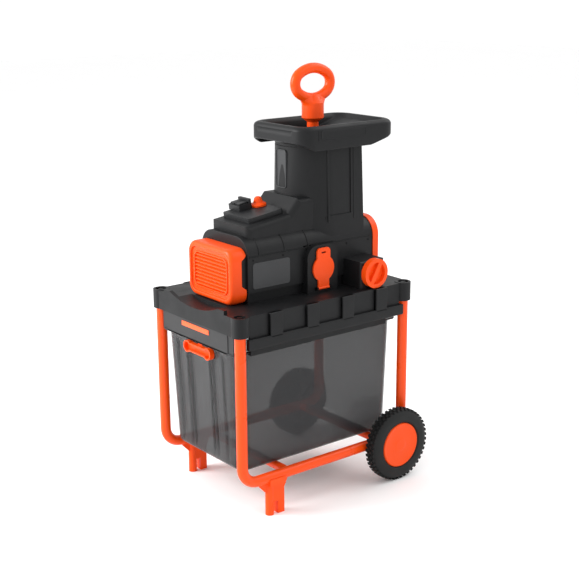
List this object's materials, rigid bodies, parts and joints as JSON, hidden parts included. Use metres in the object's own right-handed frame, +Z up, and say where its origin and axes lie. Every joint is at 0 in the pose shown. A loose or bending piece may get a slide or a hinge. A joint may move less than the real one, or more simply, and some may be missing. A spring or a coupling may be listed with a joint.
{
  "type": "wood chipper",
  "caption": "Wheeled garden wood chipper with a tall feed hopper, ring-handled plunger, enclosed electric drive and a slide-out collection box in a tube stand.",
  "frame": {"origin": "centre of the object's plan box, on the ground under the feet and wheels", "axes": "+Z up, -Y towards the front with the motor cover and box catch, +X towards the side with the adjusting knob"},
  "size_m": [0.418, 0.548, 1],
  "materials": {
    "orange_steel": "gloss powder coat",
    "orange_plastic": "moulded, satin gloss",
    "black_plastic": "moulded, fine grain",
    "control_plastic": "moulded, smooth",
    "box_plastic": "smoke-tinted, slightly clear",
    "wheel_plastic": "hard plastic tyre",
    "steel": "bright zinc plated",
    "cast_steel": "machined faces",
    "aluminium": "die cast",
    "label_film": "blank printed film"
  },
  "bodies": {
    "stand": {"side_frame_right": "orange_steel", "side_frame_left": "orange_steel", "front_cross_bar": "orange_steel", "rear_cross_bar": "orange_steel", "axle": "steel", "axle_washers": "steel", "axle_clips": "steel", "foot_right": "orange_plastic", "foot_left": "orange_plastic", "leg_plugs": "black_plastic", "deck": "black_plastic", "deck_screws": "steel", "box_runner_right": "black_plastic", "box_runner_left": "black_plastic", "box_switch": "control_plastic", "lower_housing": "black_plastic", "upper_housing": "black_plastic", "motor_cover": "orange_plastic", "rear_cover": "orange_plastic", "housing_screws": "steel", "hopper": "black_plastic", "funnel": "black_plastic", "flap_hinge": "steel", "motor_stator": "cast_steel", "roller_bearings": "steel", "motor_bracket": "aluminium", "gear_plate": "aluminium", "chamber_front_plate": "aluminium", "chamber_rear_plate": "aluminium", "chamber_liner": "aluminium", "control_panel": "control_plastic", "switch_frame": "control_plastic", "power_inlet": "control_plastic", "inlet_pins": "steel", "side_label": "label_film", "hopper_label": "label_film"},
    "right_wheel": {"wheel_right": "wheel_plastic", "wheel_cover_right": "orange_plastic"},
    "left_wheel": {"wheel_left": "wheel_plastic", "wheel_cover_left": "orange_plastic"},
    "box": {"collection_box": "box_plastic", "box_strip": "orange_plastic"},
    "catch": {"box_catch": "orange_plastic"},
    "feed_plunger": {"plunger": "orange_plastic"},
    "flap": {"inspection_flap": "orange_plastic"},
    "knob": {"adjusting_knob": "orange_plastic", "adjusting_screw": "steel"},
    "crushing_plate": {"pressure_plate": "cast_steel"},
    "rotor": {"motor_rotor": "cast_steel", "motor_shaft": "steel", "motor_fan": "black_plastic"},
    "gear_shaft": {"layshaft": "steel", "first_gear": "cast_steel"},
    "roller": {"crushing_roller": "cast_steel", "roller_shaft": "steel", "final_gear": "cast_steel"},
    "stop": {"stop_button": "control_plastic"},
    "start": {"start_button": "control_plastic"},
    "dial": {"direction_dial": "orange_plastic"}
  },
  "joints": [
    {"name": "right_wheel_spin", "type": "hinge", "parent": "stand", "child": "right_wheel", "pos_m": [0.191, 0.184, 0.09], "axis": [1, 0, 0], "continuous": true},
    {"name": "left_wheel_spin", "type": "hinge", "parent": "stand", "child": "left_wheel", "pos_m": [-0.191, 0.184, 0.09], "axis": [1, 0, 0], "continuous": true},
    {"name": "box_slide", "type": "slide", "parent": "stand", "child": "box", "axis": [0, -1, 0], "range_m": [0, 0.43]},
    {"name": "catch_slide", "type": "slide", "parent": "box", "child": "catch", "axis": [0, 0, 1], "range_m": [-0.012, 0]},
    {"name": "plunger_slide", "type": "slide", "parent": "stand", "child": "feed_plunger", "axis": [0, 0, 1], "range_m": [0, 0.2]},
    {"name": "flap_fold", "type": "hinge", "parent": "stand", "child": "flap", "pos_m": [0.1085, 0.021, 0.494], "axis": [0, 1, 0], "range_deg": [0, 75]},
    {"name": "knob_turn", "type": "hinge", "parent": "stand", "child": "knob", "pos_m": [0.15, 0.1355, 0.52], "axis": [1, 0, 0], "range_deg": [0, 432]},
    {"name": "crushing_plate_slide", "type": "slide", "parent": "stand", "child": "crushing_plate", "axis": [-1, 0, 0], "range_m": [0, 0.0015]},
    {"name": "roller_turn", "type": "hinge", "parent": "stand", "child": "roller", "pos_m": [-0.008, 0.084, 0.536], "axis": [0, 1, 0], "continuous": true},
    {"name": "gear_shaft_turn", "type": "hinge", "parent": "stand", "child": "gear_shaft", "pos_m": [-0.044, -0.03, 0.567], "axis": [0, 1, 0], "continuous": true},
    {"name": "rotor_turn", "type": "hinge", "parent": "stand", "child": "rotor", "pos_m": [0, -0.119, 0.548], "axis": [0, 1, 0], "continuous": true},
    {"name": "stop_press", "type": "slide", "parent": "stand", "child": "stop", "axis": [0, 0.1357, -0.9907], "range_m": [0, 0.004], "stiffness_N_per_m": 300},
    {"name": "start_press", "type": "slide", "parent": "stand", "child": "start", "axis": [0, 0.1357, -0.9907], "range_m": [0, 0.004], "stiffness_N_per_m": 300},
    {"name": "dial_turn", "type": "hinge", "parent": "stand", "child": "dial", "pos_m": [-0.02, -0.06694, 0.66884], "axis": [0, -0.1357, 0.9907], "range_deg": [-45, 45]}
  ],
  "couplings": [
    {"joint": "gear_shaft_turn", "follows": "roller_turn", "ratio": -3.635},
    {"joint": "rotor_turn", "follows": "roller_turn", "ratio": 13.362},
    {"joint": "knob_turn", "follows": "crushing_plate_slide", "rad_per_m": 5026.5}
  ]
}
